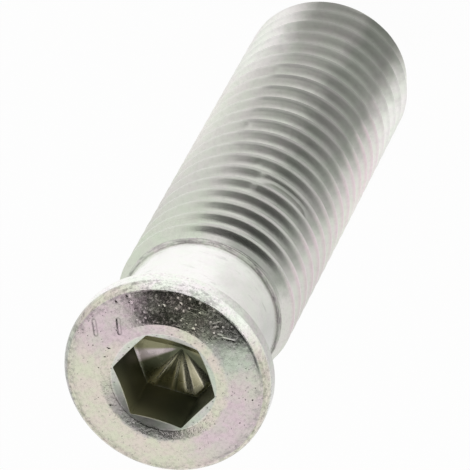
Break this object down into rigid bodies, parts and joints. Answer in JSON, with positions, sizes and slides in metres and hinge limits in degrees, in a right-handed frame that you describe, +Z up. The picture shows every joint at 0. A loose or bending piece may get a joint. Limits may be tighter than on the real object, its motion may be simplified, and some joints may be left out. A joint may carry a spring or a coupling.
{
  "type": "anchor screw",
  "caption": "Anchor screw of plated steel with a low round head, a hexagon socket, a plain neck and a coarse right-hand thread with a chamfered tip.",
  "frame": {"origin": "middle of the flat tip end, which the screw stands on", "axes": "+Z up the screw's axis from the tip to the head, X square to a flat of the hexagon socket"},
  "size_m": [0.014, 0.014, 0.048],
  "materials": {
    "plated_steel": "bright zinc plating, clear passivated, with a faint green and pink sheen"
  },
  "bodies": {
    "root": {"anchor_screw": "plated_steel"}
  },
  "joints": []
}
